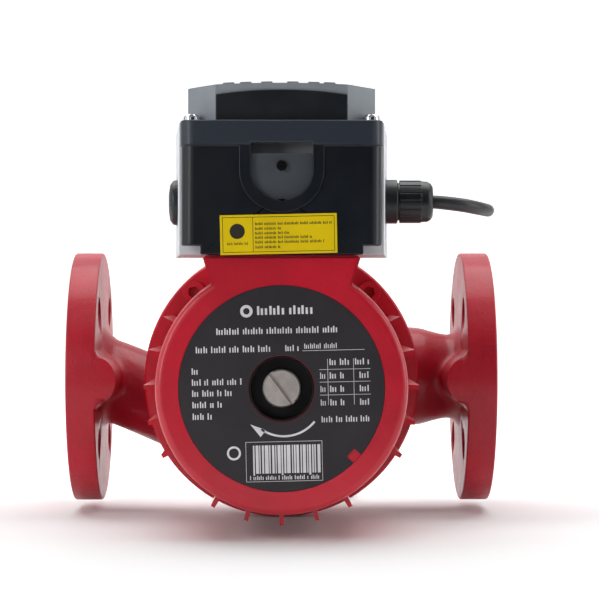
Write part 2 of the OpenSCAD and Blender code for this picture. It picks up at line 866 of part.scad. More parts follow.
// The cable's end inside the gland, and its four cores on their way to the terminals.
module supply_cores() {
    color("saddlebrown") placed() {
        rod([44.4, entry_y, entry_z], [cable_exit_x, entry_y, entry_z], cable_r);
        for (i = [0 : 3]) {
            y = entry_y + 1.5 - 3 * (i % 2);
            z = entry_z - 1.5 + 3 * floor(i / 2);
            x = terminal_xs[5 - i];
            tube([[44.2, y, z], [x + 14, y, z], [x + 6, -117, z - 2], [x + 1, -113.4, z - 8], [x, -112.6, 84],
                [x, -113, 80], [x, -114.7, 79]], 1.1, 8, [-0.6, -0.5, 0.6]);
        }
    }
}

// ---------- free cable ----------

module supply_cable() {
    color("black") placed() tube(route, cable_r, 10, [0.8, 0.3, 0.6]);
}

module cable_coil() {
    color("black") placed() translate([coil_centre[0], coil_centre[1], coil_bottom_z])
        rotate_extrude() translate([coil_r - coil_half_w, 0]) square([2 * coil_half_w, coil_h]);
}

module coil_tie() {
    tie_w = 8;
    angle = 100;
    gap = 0.05;
    inner_half = coil_half_w + gap;
    outer_half = inner_half + tie_t;
    color("gray") placed() translate([coil_centre[0], coil_centre[1], coil_bottom_z]) rotate([0, 0, angle])
        difference() {
            block([coil_r - outer_half - 0.4, -tie_w / 2, -tie_t - gap],
                [coil_r + outer_half + 0.4, tie_w / 2, coil_h + gap + tie_t]);
            block([coil_r - inner_half - 0.4, -tie_w, -gap],
                [coil_r + inner_half + 0.4, tie_w, coil_h + gap]);
        }
}

// The stripped end of the cable, lying on the coil.
module core_ends() {
    bundle_r = 3;
    lying_z = coil_bottom_z + coil_h + bundle_r + 0.1;
    color("gray") placed() translate([coil_centre[0], coil_centre[1], lying_z])
        rotate([0, 0, -35]) rotate_extrude(angle = 95) translate([coil_r, 0]) circle(r = bundle_r, $fn = 32);
}

pump_housing();
neck_ring();
housing_gasket();
motor_housing();
motor_bolts();
bearing_plate();
inner_bearing();
outer_bearing();
rotor_can();
can_seal_ring();
stator_core();
stator_windings();
impeller();
impeller_nut();
shaft();
rotor_core();
rotor_sleeve();
thrust_ring();
nameplate();
vent_bush();
vent_plug();
vent_seal_ring();
base_gasket();
terminal_box();
box_screws();
front_cover();
window_bezel();
window_plate();
window_screw();
yellow_label();
lid_gasket();
lid();
lid_panel();
lid_screws();
terminal_block();
terminal_screws();
earth_screw();
speed_switch();
speed_knob();
motor_leads();
blanking_plug();
blanking_plug_nut();
gland_body();
gland_locknut();
gland_seal();
gland_nut();
supply_cores();
supply_cable();
cable_coil();
coil_tie();
core_ends();
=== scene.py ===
import math

import bmesh
import bpy
from mathutils import Matrix, Vector


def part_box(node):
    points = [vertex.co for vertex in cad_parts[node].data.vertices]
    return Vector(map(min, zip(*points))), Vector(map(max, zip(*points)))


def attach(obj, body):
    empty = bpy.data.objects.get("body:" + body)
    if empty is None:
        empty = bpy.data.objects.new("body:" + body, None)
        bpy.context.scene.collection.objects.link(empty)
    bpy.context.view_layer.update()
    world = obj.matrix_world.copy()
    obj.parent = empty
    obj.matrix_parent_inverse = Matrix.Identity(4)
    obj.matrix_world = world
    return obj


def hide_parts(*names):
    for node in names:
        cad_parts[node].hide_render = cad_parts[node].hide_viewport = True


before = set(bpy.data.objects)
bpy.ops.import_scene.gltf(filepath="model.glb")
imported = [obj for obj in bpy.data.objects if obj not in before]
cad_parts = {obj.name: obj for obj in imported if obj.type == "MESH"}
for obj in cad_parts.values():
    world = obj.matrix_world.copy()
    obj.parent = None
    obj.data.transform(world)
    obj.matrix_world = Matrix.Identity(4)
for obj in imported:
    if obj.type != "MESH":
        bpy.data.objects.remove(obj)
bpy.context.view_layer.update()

# ---------------------------------------------------------------- places

MM = 0.001
housing_low, housing_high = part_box("pump_housing")
FLANGE_R = 75.0
# The pipe axis and the motor axis cross here; every place below is told from it in mm.
CROSSING = Vector((0, housing_high.y - FLANGE_R * MM, (housing_low.z + housing_high.z) / 2))


def at(x, y, z):
    """A place in metres, from millimetres about the crossing of the two axes."""
    return CROSSING + Vector((x, y, z)) * MM


# ---------------------------------------------------------------- camera

LENS_MM = 134
SENSOR_MM = 36
CAMERA_PLACE = (-0.6, -1364, 46.5)
CAMERA_TURN = -0.5

camera_data = bpy.data.cameras.new("camera")
camera_data.lens = LENS_MM
camera_data.sensor_width = SENSOR_MM
camera = bpy.data.objects.new("camera", camera_data)
camera.location = at(*CAMERA_PLACE)
camera.rotation_euler = (math.radians(90), 0, math.radians(CAMERA_TURN))
bpy.context.scene.collection.objects.link(camera)
bpy.context.scene.camera = camera

# ---------------------------------------------------------------- materials


def rgb(r, g, b):
    """Linear colour from 0-255 display values."""
    def linear(v):
        v = v / 255
        return v / 12.92 if v <= 0.04045 else ((v + 0.055) / 1.055) ** 2.4
    return (linear(r), linear(g), linear(b), 1)


class Nodes:
    """Short ways to add nodes to one material."""

    def __init__(self, name):
        self.material = bpy.data.materials.new(name)
        self.material.use_nodes = True
        self.tree = self.material.node_tree
        self.shader = self.tree.nodes["Principled BSDF"]
        self.coords = self.tree.nodes.new("ShaderNodeTexCoord").outputs["Object"]

    def add(self, kind, **inputs):
        node = self.tree.nodes.new(kind)
        for key, value in inputs.items():
            socket = node.inputs[key.replace("_", " ")]
            if hasattr(value, "is_output"):
                self.tree.links.new(value, socket)
            else:
                socket.default_value = value
        return node

    def noise(self, scale, detail, rough, vector=None):
        node = self.add("ShaderNodeTexNoise", Vector=vector or self.coords, Scale=scale,
                        Detail=detail, Roughness=rough)
        return node.outputs["Fac"]

    def spread(self, value, low, high, to_low, to_high):
        node = self.add("ShaderNodeMapRange", Value=value, From_Min=low, From_Max=high,
                        To_Min=to_low, To_Max=to_high)
        return node.outputs["Result"]

    def mix(self, factor, a, b):
        node = self.tree.nodes.new("ShaderNodeMix")
        node.data_type = "RGBA"
        sockets = [s for s in node.inputs if s.enabled]
        for socket, value in zip(sockets, (factor, a, b)):
            if hasattr(value, "is_output"):
                self.tree.links.new(value, socket)
            else:
                socket.default_value = value
        return next(s for s in node.outputs if s.enabled)

    def stretch(self, x, y, z):
        """Coordinates scaled along each axis, for marks drawn out in one direction."""
        node = self.tree.nodes.new("ShaderNodeVectorMath")
        node.operation = "MULTIPLY"
        self.tree.links.new(self.coords, node.inputs[0])
        node.inputs[1].default_value = (x, y, z)
        return node.outputs[0]

    def bump(self, height, depth_mm, normal=None):
        node = self.add("ShaderNodeBump", Height=height, Strength=1.0, Distance=depth_mm * MM)
        if normal is not None:
            self.tree.links.new(normal, node.inputs["Normal"])
        return node.outputs["Normal"]

    def plugged(self, name):
        """What is linked to an input of the shader so far."""
        return self.shader.inputs[name].links[0].from_socket

    def plug(self, name, value):
        socket = self.shader.inputs[name]
        if hasattr(value, "is_output"):
            self.tree.links.new(value, socket)
        else:
            socket.default_value = value


COAT_ROUGHNESS = 0.2
PAINT_PATCH, PAINT_GRAIN, PAINT_PITS, PAINT_DUST = 22, 1500, 420, 60
PLASTIC_PATCH, PLASTIC_GRAIN, PLASTIC_SCUFFS = 35, 2600, 300
PIT_DEPTH = 2.2
DUST_SHARE = 0.03
DUST = rgb(196, 120, 122)
# Blur in mm of the edge of the painted highlight on the cover's top band.
LIT_BAND_BLUR_MM = 0.3


def surface(name, light, dark, rough, patch, grain, depth, metallic=0.0, coat=0.0,
            stretch=None, wave=0.0, specular=0.5):
    """A made surface: colour drifting between two tones, roughness in patches, a fine grain.

    patch and grain are noise scales (per metre), depth is the grain's height in mm, and wave is
    the height in mm of slow unevenness such as a casting's or a moulding's."""
    n = Nodes(name)
    where = n.stretch(*stretch) if stretch else n.coords
    drift = n.noise(patch, 4.0, 0.6, where)
    n.plug("Base Color", n.mix(n.spread(drift, 0.35, 0.65, 0, 1), dark, light))
    patches = n.noise(patch * 2.3, 3.0, 0.6, where)
    n.plug("Roughness", n.spread(patches, 0.3, 0.7, rough[0], rough[1]))
    normal = n.bump(n.noise(grain, 2.0, 0.5, where), depth)
    if wave:
        normal = n.bump(n.noise(patch * 1.7, 2.0, 0.5), wave, normal)
    n.plug("Normal", normal)
    n.plug("Metallic", metallic)
    n.plug("Coat Weight", coat)
    n.plug("Coat Roughness", COAT_ROUGHNESS)
    n.plug("Specular IOR Level", specular)
    return n


def red_paint(name, light, dark, grain_depth, wave, rough, coat):
    """Glossy enamel over cast iron: the casting's skin shows through, with dust in its hollows."""
    n = surface(name, light, dark, rough, PAINT_PATCH, PAINT_GRAIN, grain_depth, coat=coat,
                wave=wave, specular=0.3)
    pits = n.spread(n.noise(PAINT_PITS, 4.0, 0.7), 0.5, 0.75, 0, 1)
    n.plug("Normal", n.bump(pits, grain_depth * PIT_DEPTH, n.plugged("Normal")))
    mask = n.spread(n.noise(PAINT_DUST, 5.0, 0.7), 0.56, 0.72, 0, DUST_SHARE)
    n.plug("Base Color", n.mix(mask, n.plugged("Base Color"), DUST))
    return n.material


def plastic(name, light, dark, rough, depth=0.02, specular=0.5, lit_band=None):
    """Moulded plastic with fine pale scuffs; optionally a height in mm and a painted highlight
    colour above it, a lighter tone standing in for the light caught by the faces there.
    """
    n = surface(name, light, dark, rough, PLASTIC_PATCH, PLASTIC_GRAIN, depth, wave=0.05,
                specular=specular)
    scuffs = n.noise(PLASTIC_SCUFFS, 6.0, 0.75, n.stretch(0.25, 1, 1))
    fine = n.spread(scuffs, 0.62, 0.8, 0, 0.35)
    pale = tuple(min(1, c * 1.6 + 0.02) for c in light[:3]) + (1,)
    shade = n.mix(fine, n.plugged("Base Color"), pale)
    # Painted highlight: above the given height the colour turns lighter, standing in for the light
    # the cover's top band catches.
    if lit_band:
        height = n.add("ShaderNodeSeparateXYZ", Vector=n.coords).outputs["Z"]
        edge, blur = at(0, 0, lit_band[0]).z, LIT_BAND_BLUR_MM * MM
        shade = n.mix(n.spread(height, edge - blur, edge + blur, 0, 1), shade, lit_band[1])
    n.plug("Base Color", shade)
    return n.material


def metal(name, light, dark, rough, patch=40, grain=900, depth=0.01, stretch=None):
    """Bare metal; patch, grain, depth and stretch as in surface()."""
    return surface(name, light, dark, rough, patch, grain, depth, metallic=1.0,
                   stretch=stretch).material


# Height in mm above which the cover's top band is painted lighter, as a painted highlight for the
# light it catches.
COVER_LIT_BAND_Z = 127.5

LOOKS = {
    "casting": red_paint("red_casting", rgb(182, 14, 40), rgb(160, 11, 33), 0.05, 0.35,
                         (0.42, 0.56), 0.3),
    "motor": red_paint("red_motor", rgb(196, 15, 42), rgb(176, 12, 36), 0.03, 0.22,
                       (0.34, 0.46), 0.6),
    # The cover's top band takes a lighter colour: painted highlight.
    "cover": plastic("cover_plastic", rgb(12, 18, 26), rgb(9, 14, 22), (0.3, 0.38), specular=0.4,
                     lit_band=(COVER_LIT_BAND_Z, rgb(44, 50, 60))),
    "window": plastic("window_plastic", rgb(70, 75, 81), rgb(60, 65, 71), (0.42, 0.55)),
    "panel": plastic("panel_plastic", rgb(20, 25, 31), rgb(15, 20, 25), (0.34, 0.46), specular=0.4),
    "box": plastic("box_plastic", rgb(212, 216, 220), rgb(200, 205, 210), (0.42, 0.6)),
    # The lid's grey is painted reflection: the same black plastic as its front panel, lightened to
    # stand in for the lamps mirrored on its top and sloped sides.
    "lid": plastic("lid_painted_reflection", rgb(138, 145, 152), rgb(126, 133, 140), (0.4, 0.56)),
    "gland": plastic("gland_nylon", rgb(16, 21, 25), rgb(10, 14, 17), (0.3, 0.42), 0.03),
    "plug": plastic("plug_nylon", rgb(28, 34, 39), rgb(20, 25, 30), (0.3, 0.45)),
    # Near-black painted shade: the bush lining the vent recess is coloured as the deep shadow round
    # the plug.
    "well": plastic("well_plastic", rgb(9, 7, 10), rgb(6, 5, 8), (0.4, 0.6), specular=0.25),
    "rubber": plastic("seal_rubber", rgb(30, 30, 32), rgb(22, 22, 24), (0.6, 0.8), 0.04),
    "cable": plastic("cable_sheath", rgb(38, 38, 42), rgb(28, 29, 32), (0.36, 0.5), 0.03),
    "yellow": plastic("yellow_vinyl", rgb(228, 198, 6), rgb(220, 190, 5), (0.4, 0.5), 0.006,
                      specular=0.2),
    "plate": plastic("nameplate_foil", rgb(36, 31, 36), rgb(28, 24, 29), (0.4, 0.5), 0.008),
    "ink": plastic("label_ink", rgb(34, 27, 12), rgb(26, 21, 10), (0.5, 0.6), 0.005),
    "print": plastic("plate_print", rgb(226, 224, 226), rgb(206, 204, 208), (0.45, 0.6), 0.005),
    "knob": plastic("knob_plastic", rgb(196, 52, 24), rgb(178, 42, 18), (0.3, 0.45)),
    "ivory": plastic("terminal_plastic", rgb(226, 218, 196), rgb(208, 198, 172), (0.35, 0.5)),
    "switch": plastic("switch_plastic", rgb(48, 50, 54), rgb(38, 40, 44), (0.35, 0.5)),
    "tie": plastic("tie_strap", rgb(60, 62, 66), rgb(48, 50, 54), (0.45, 0.6), 0.03),
    "gasket": plastic("gasket_fibre", rgb(62, 58, 54), rgb(46, 43, 40), (0.65, 0.85), 0.06),
    "chrome": metal("screw_chrome", rgb(214, 216, 220), rgb(188, 190, 194), (0.1, 0.24)),
    "steel": metal("plain_steel", rgb(178, 180, 184), rgb(146, 148, 152), (0.22, 0.4)),
    "plug_steel": metal("vent_steel", rgb(216, 208, 202), rgb(180, 172, 168), (0.4, 0.56), 60,
                        1400, 0.03),
    "can": metal("can_steel", rgb(196, 198, 202), rgb(172, 174, 178), (0.16, 0.3)),
    "laminations": metal("lamination_steel", rgb(120, 122, 126), rgb(88, 90, 94), (0.35, 0.5), 40,
                         60, 0.05, (1, 40, 1)),
    "blackened": metal("blackened_steel", rgb(46, 46, 48), rgb(30, 30, 32), (0.36, 0.52)),
    "copper": metal("winding_copper", rgb(190, 108, 62), rgb(150, 76, 42), (0.26, 0.42), 60, 500,
                    0.15, (1, 6, 1)),
    "brass": metal("brass", rgb(206, 172, 92), rgb(170, 136, 66), (0.2, 0.36)),
    "bronze": metal("bronze", rgb(176, 128, 78), rgb(138, 96, 56), (0.25, 0.4)),
    "impeller": plastic("impeller_plastic", rgb(172, 172, 168), rgb(150, 150, 146), (0.4, 0.55)),
    "carbon": plastic("bearing_carbon", rgb(44, 44, 46), rgb(30, 30, 32), (0.35, 0.5)),
    "brown": plastic("lead_brown", rgb(104, 58, 34), rgb(88, 46, 26), (0.4, 0.55)),
    "blue": plastic("lead_blue", rgb(40, 84, 150), rgb(30, 70, 130), (0.4, 0.55)),
    "black_lead": plastic("lead_black", rgb(34, 34, 36), rgb(24, 24, 26), (0.4, 0.55)),
    "green": plastic("lead_green", rgb(72, 140, 52), rgb(56, 120, 40), (0.4, 0.55)),
}

# ---------------------------------------------------------------- CAD nodes

WELD_M = 2e-6
FLAT_ANGLE = 0.8
EDGE_ANGLE = 32
EDGE_SEGMENTS = 2
DRESS_WEIGHT = 80


def dress(name, look, edge, flat):
    """Gives a CAD node its material and softly broken edges, and leaves its place alone.

    edge is the edges' width in mm. flat merges each flat face's triangles first and keeps the
    edges from running into each other; a face with many holes does without both."""
    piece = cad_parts[name]
    mesh = piece.data
    mesh.materials.clear()
    mesh.materials.append(LOOKS[look])
    for polygon in mesh.polygons:
        polygon.use_smooth = True
        polygon.material_index = 0
    if "custom_normal" in mesh.attributes:
        mesh.attributes.remove(mesh.attributes["custom_normal"])
    weld = piece.modifiers.new("weld", "WELD")
    weld.merge_threshold = WELD_M
    if flat:
        flatten = piece.modifiers.new("flatten", "DECIMATE")
        flatten.decimate_type = "DISSOLVE"
        flatten.angle_limit = math.radians(FLAT_ANGLE)
    if edge:
        bevel = piece.modifiers.new("edges", "BEVEL")
        bevel.width = edge * MM
        bevel.segments = EDGE_SEGMENTS
        bevel.limit_method = "ANGLE"
        bevel.angle_limit = math.radians(EDGE_ANGLE)
        bevel.harden_normals = False
        bevel.use_clamp_overlap = flat
    shade = piece.modifiers.new("shade", "WEIGHTED_NORMAL")
    shade.keep_sharp = False
    shade.weight = DRESS_WEIGHT


# Each CAD node left as it is: name, look, width of its broken edges in mm.
DRESSED = [
    ("neck_ring", "bronze", 0.2), ("housing_gasket", "gasket", 0),
    ("motor_housing", "motor", 0.7), ("motor_bolts", "motor", 0.3),
    ("bearing_plate", "steel", 0.3), ("inner_bearing", "carbon", 0.3),
    ("outer_bearing", "carbon", 0.3), ("rotor_can", "can", 0.1), ("can_seal_ring", "rubber", 0),
    ("stator_core", "laminations", 0.2), ("stator_windings", "copper", 0.8),
    ("impeller", "impeller", 0.3), ("impeller_nut", "brass", 0.4), ("shaft", "steel", 0.2),
    ("rotor_core", "laminations", 0.3), ("rotor_sleeve", "can", 0.05),
    # The vent bush takes the near-black painted shade of the recess.
    ("thrust_ring", "carbon", 0.3), ("nameplate", "plate", 0.12), ("vent_bush", "well", 0.25),
    ("vent_plug", "plug_steel", 0.25), ("vent_seal_ring", "rubber", 0.1),
    ("base_gasket", "rubber", 0), ("terminal_box", "box", 0.6), ("box_screws", "steel", 0.2),
    ("front_cover", "cover", 0.7), ("window_bezel", "cover", 0.45),
    ("window_plate", "window", 0.3), ("window_screw", "blackened", 0.2),
    ("yellow_label", "yellow", 0.05), ("lid_gasket", "rubber", 0), ("lid", "lid", 1.6),
    ("lid_panel", "panel", 0.7), ("lid_screws", "chrome", 0.2), ("terminal_block", "ivory", 0.3),
    ("terminal_screws", "brass", 0.2), ("earth_screw", "green", 0.2),
    ("speed_switch", "switch", 0.4), ("speed_knob", "knob", 0.3), ("motor_leads", "brown", 0),
    ("blanking_plug", "plug", 0.3), ("blanking_plug_nut", "gland", 0.4),
    ("gland_body", "gland", 0.3), ("gland_locknut", "gland", 0.4), ("gland_seal", "rubber", 0.2),
    ("gland_nut", "gland", 0.25), ("supply_cores", "brown", 0),
]
HOLED_FACES = ("front_cover",)
for node_name, look, edge in DRESSED:
    dress(node_name, look, edge, flat=node_name not in HOLED_FACES)

# ---------------------------------------------------------------- mesh tools


def finish_mesh(bm, name, look, smooth=True):
    """Turns a bmesh built in mm about the crossing into a placed object."""
    bmesh.ops.recalc_face_normals(bm, faces=bm.faces)
    place = Matrix.Translation(CROSSING) @ Matrix.Diagonal((MM, MM, MM, 1))
    bmesh.ops.transform(bm, matrix=place, verts=bm.verts)
    mesh = bpy.data.meshes.new(name)
    bm.to_mesh(mesh)
    bm.free()
    for polygon in mesh.polygons:
        polygon.use_smooth = smooth
    mesh.materials.append(LOOKS[look])
    piece = bpy.data.objects.new(name, mesh)
    bpy.context.scene.collection.objects.link(piece)
    return piece


def apply_modifiers(piece):
    """Bakes a piece's modifiers into its mesh."""
    graph = bpy.context.evaluated_depsgraph_get()
    mesh = bpy.data.meshes.new_from_object(piece.evaluated_get(graph))
    old = piece.data
    piece.modifiers.clear()
    piece.data = mesh
    bpy.data.meshes.remove(old)


def ring_of(centre, u, v, r, count):
    """Points on a circle in the plane of two unit vectors."""
    return [centre + (u * math.cos(a) + v * math.sin(a)) * r
            for a in (2 * math.pi * k / count for k in range(count))]


def loft(bm, rings):
    """Skins closed rings of points, with flat ends."""
    made = [[bm.verts.new(p) for p in ring] for ring in rings]
    count = len(made[0])
    for a, b in zip(made, made[1:]):
        for k in range(count):
            bm.faces.new((a[k], a[(k + 1) % count], b[(k + 1) % count], b[k]))
    bm.faces.new(made[0][::-1])
    bm.faces.new(made[-1])


# For each axis: its direction, then the two across it.
AXES = {"x": (Vector((1, 0, 0)), Vector((0, 1, 0)), Vector((0, 0, 1))),
        "y": (Vector((0, 1, 0)), Vector((0, 0, 1)), Vector((1, 0, 0))),
        "z": (Vector((0, 0, 1)), Vector((1, 0, 0)), Vector((0, 1, 0)))}


def lathe(bm, axis, through, outline, count):
    """A solid turned about a line along an axis, from (radius, station) pairs, capped."""
    along, u, v = AXES[axis]
    base = Vector(through)
    loft(bm, [ring_of(base + along * s, u, v, r, count) for r, s in outline])


def sweep(bm, path, radii, count):
    """A round bar along a path of points, with a radius at each."""
    path = [Vector(p) for p in path]
    rings = []
    u = None
    for i, p in enumerate(path):
        d = (path[min(i + 1, len(path) - 1)] - path[max(i - 1, 0)]).normalized()
        if u is None:
            u = d.orthogonal().normalized()
        u = (u - d * u.dot(d)).normalized()
        rings.append(ring_of(p, u, d.cross(u), radii[i], count))
    loft(bm, rings)


def prism(bm, outline, y0, y1):
    """A solid with a given front view, as (x, z) points, between two stations along Y."""
    loft(bm, [[Vector((x, y, z)) for x, z in outline] for y in (y0, y1)])


def ease(low, high, value):
    """0 below low, 1 above high, and a smooth step between."""
    t = min(1.0, max(0.0, (value - low) / (high - low)))
    return t * t * (3 - 2 * t)


def smooth_path(points, steps):
    """Points along a smooth curve through the given ones."""
    points = [Vector(p) for p in points]
    out = []
    for i in range(len(points) - 1):
        a, b = points[max(i - 1, 0)], points[i]
        c, d = points[i + 1], points[min(i + 2, len(points) - 1)]
        for k in range(steps):
            t = k / steps
            out.append(((b * 2) + (c - a) * t + (a * 2 - b * 5 + c * 4 - d) * t * t
                        + (b * 3 - a - c * 3 + d) * t * t * t) / 2)
    out.append(points[-1])
    return out


# ---------------------------------------------------------------- pump casting

# Stations and radii in mm about the crossing.
CENTRE = (0, 0, 0)
FACE_X, INNER_X = 125.0, 108.0
BORE_R = 20
PIPE_BOLTS_R, PIPE_BOLT_R = 55, 9.5
STUB_R = 24.5
SUCTION_GROWTH = 5.5
DISCHARGE_PATH = [(-110, 0, -1), (-103, 0, -2.6), (-84, -3, -10), (-64, -11, -18), (-40, -22, -28)]
SUCTION_PATH = [(108, 0, 0), (92, 0.5, 0), (78, 1, 0), (50, 4, 0), (0, 8, 0)]
VOLUTE_R, VOLUTE_GROWTH, VOLUTE_POINTS = 64.3, 9, 80
JOINT_Y, JOINT_R, JOINT_BACK_Y = -47.7, 80, -37
JOINT_BOLTS_R, JOINT_BOLT_R = 72, 4.05
BOSS_X, BOSS_R, BOSS_FRONT_Y = 109.7, 14.2, -75.0
FILLET_R = 5.0
FILLET_POINTS, NOSE_POINTS = 8, 24
WALL_OVERLAP = 0.01
CAST_VOXEL, CAST_SOFTEN, CAST_SOFTEN_STEPS, CAST_WEIGHT = 1.7, 0.5, 16, 60
# Sides of the turned and swept shapes.
RIM_SIDES, BODY_SIDES, STUB_SIDES, BRANCH_SIDES, HOLE_SIDES = 144, 96, 64, 48, 48
WATERWAY_SIDES, BOLT_SIDES = 32, 24
# The back of the volute, and the room for the impeller and the bearing, as (radius, station).
BACK_DOME = [(62, -14), (58, -7), (49, 4), (38, 16), (28, 28), (17, 36), (6, 37.6), (0.5, 37.7)]
CHAMBER = [(66.1, JOINT_Y - 1), (66.1, -45), (57.5, -45), (57.5, -18), (26, -18), (26, -12.5),
           (24, -12.5), (24, 14), (17, 26), (3, 29)]
OUTLET_WAY = [(-100, 0, 0), (-84, -3, -9), (-64, -11, -17), (-44, -21, -26)]
INLET_WAY = [(95, 0, 0), (50, 4, 0), (4, 8, 0)]
OUTLET_WAY_R, INLET_WAY_R = 15, 17
# Where each pipe bore narrows behind its flange; the left branch curves sooner.
BORE_TAPER = {1: (80, 90), -1: (93, 104)}
BORE_NARROW_R = 15


def on_side(side, outline):
    """A turned outline with its stations on the right (side 1) or the left (side -1)."""
    return [(r, side * s) for r, s in outline]


def boss_outline(side, grow=0.0):
    """Front view of a tapping boss with its blends into the flange, as (x, z) points."""
    wall = INNER_X - WALL_OVERLAP + grow
    radius = BOSS_R + grow
    blend_x = wall - FILLET_R
    reach = math.sqrt((radius + FILLET_R) ** 2 - (BOSS_X - blend_x) ** 2)
    touch = math.atan2(reach, blend_x - BOSS_X)
    top = []
    for k in range(FILLET_POINTS + 1):
        a = touch - math.pi + (math.pi - touch) * k / FILLET_POINTS
        top.append((blend_x + FILLET_R * math.cos(a), reach + FILLET_R * math.sin(a)))
    nose = [(BOSS_X + radius * math.cos(a), radius * math.sin(a))
            for a in (touch + (2 * math.pi - 2 * touch) * k / NOSE_POINTS
                      for k in range(1, NOSE_POINTS))]
    low = [(x, -z) for x, z in top]
    back = INNER_X + 3
    outline = [(back, top[-1][1])] + top[::-1] + nose + low + [(back, low[-1][1])]
    return [(side * x, z) for x, z in outline]


def volute_outline():
    """Front view of the spiral chamber, which grows once round, as (x, z) points."""
    points = []
    for i in range(VOLUTE_POINTS):
        r = VOLUTE_R + VOLUTE_GROWTH * i / (VOLUTE_POINTS - 1)
        a = math.pi - math.radians(360 * i / VOLUTE_POINTS)
        points.append((r * math.cos(a), r * math.sin(a)))
    return points


def cast_body():
    """The rounded castings between the flanges, fused into one skin with soft fillets."""
    bm = bmesh.new()
    for side in (-1, 1):
        lathe(bm, "x", CENTRE, on_side(side, [(70, INNER_X + 1.2), (70, FACE_X - 4)]), BODY_SIDES)
        lathe(bm, "x", CENTRE, on_side(side, [
            (STUB_R - 3, 100), (STUB_R, 102.5), (STUB_R + 3, 105.5), (STUB_R + 7, 108.5),
            (STUB_R + 8, 114)]), STUB_SIDES)
        prism(bm, boss_outline(side, -0.4), BOSS_FRONT_Y + 3, -10)
    discharge = smooth_path(DISCHARGE_PATH, 6)
    sweep(bm, discharge, [STUB_R] * len(discharge), BRANCH_SIDES)
    suction = smooth_path(SUCTION_PATH, 6)
    widening = [STUB_R + SUCTION_GROWTH * ease(0, 12, i) for i in range(len(suction))]
    sweep(bm, suction, widening, BRANCH_SIDES)
    prism(bm, volute_outline(), JOINT_Y + 3, -12)
    lathe(bm, "y", CENTRE, [(78, -46.5), (78, -37.5)], BODY_SIDES)
    lathe(bm, "y", CENTRE, BACK_DOME, BODY_SIDES)
    piece = finish_mesh(bm, "pump_casting", "casting")
    fuse = piece.modifiers.new("fuse", "REMESH")
    fuse.mode = "VOXEL"
    fuse.voxel_size = CAST_VOXEL * MM
    fuse.use_smooth_shade = True
    soften = piece.modifiers.new("soften", "SMOOTH")
    soften.factor = CAST_SOFTEN
    soften.iterations = CAST_SOFTEN_STEPS
    apply_modifiers(piece)
    return piece


def cut_or_join(piece, tool, operation):
    """Joins a tool solid to a piece or cuts it away, and removes the tool."""
    step = piece.modifiers.new("step", "BOOLEAN")
    step.operation = operation
    step.solver = "MANIFOLD"
    step.object = tool
    apply_modifiers(piece)
    bpy.data.objects.remove(tool)


def tool_of(build):
    """A tool solid, from a function that fills a bmesh."""
    bm = bmesh.new()
    build(bm)
    return finish_mesh(bm, "tool", "casting")


casting = cast_body()


def add_flange(side):
    """A pipe flange with rounded rim edges, still without its holes."""
    def build(bm):
        lathe(bm, "x", CENTRE, on_side(side, [
            (30, INNER_X), (73.6, INNER_X), (74.5, INNER_X + 0.3), (FLANGE_R, INNER_X + 1.1),
            (FLANGE_R, FACE_X - 1.1), (74.5, FACE_X - 0.3), (73.6, FACE_X), (30, FACE_X)]),
              RIM_SIDES)
    return build


def boss_tool(side):
    """A tapping boss whose front follows the flange's rim."""
    outline, inset = boss_outline(side), boss_outline(side, -0.9)
    bm = bmesh.new()
    loft(bm, [[Vector((x, y, z)) for x, z in ring] for ring, y in (
        (inset, -76.5), (outline, BOSS_FRONT_Y + 1), (outline, -46))])
    boss = finish_mesh(bm, "boss", "casting")
    bm = bmesh.new()
    lathe(bm, "x", CENTRE, on_side(side, [(74.95, 85), (74.95, INNER_X + 4)]), RIM_SIDES)
    cut_or_join(boss, finish_mesh(bm, "rim", "casting"), "INTERSECT")
    return boss


def add_joint_flange(bm):
    lathe(bm, "y", CENTRE, [(JOINT_R - 1, JOINT_Y), (JOINT_R, JOINT_Y + 1), (JOINT_R, JOINT_BACK_Y),
                            (79.2, -36.2), (77, -36)], RIM_SIDES)


for build in (add_flange(-1), add_flange(1), add_joint_flange):
    cut_or_join(casting, tool_of(build), "UNION")
for side in (-1, 1):
    cut_or_join(casting, boss_tool(side), "UNION")


def corner_angles():
    """Four bolts, halfway between the upright and the level line."""
    return [math.radians(45 + 90 * k) for k in range(4)]


def cut_pipe_side(side):
    """The bolt holes and the bore of one pipe flange."""
    def build(bm):
        for a in corner_angles():
            through = (0, PIPE_BOLTS_R * math.cos(a), PIPE_BOLTS_R * math.sin(a))
            lathe(bm, "x", through, on_side(side, [
                (PIPE_BOLT_R, INNER_X - 8), (PIPE_BOLT_R, FACE_X - 0.6), (10.6, FACE_X + 1)]),
                  HOLE_SIDES)
        narrow, full = BORE_TAPER[side]
        lathe(bm, "x", CENTRE, on_side(side, [
            (BORE_NARROW_R, narrow), (BORE_R, full), (BORE_R, FACE_X - 0.8),
            (21.8, FACE_X + 1)]), STUB_SIDES)
    return build


def cut_inside(bm):
    lathe(bm, "y", CENTRE, CHAMBER, BODY_SIDES)


def cut_waterways(bm):
    out = smooth_path(OUTLET_WAY, 5)
    sweep(bm, out, [OUTLET_WAY_R] * len(out), WATERWAY_SIDES)
    sweep(bm, INLET_WAY, [INLET_WAY_R] * len(INLET_WAY), WATERWAY_SIDES)


def cut_bolts(bm):
    for a in corner_angles():
        through = (JOINT_BOLTS_R * math.cos(a), 0, JOINT_BOLTS_R * math.sin(a))
        lathe(bm, "y", through, [(JOINT_BOLT_R, JOINT_Y - 1), (JOINT_BOLT_R, JOINT_BACK_Y)],
              BOLT_SIDES)


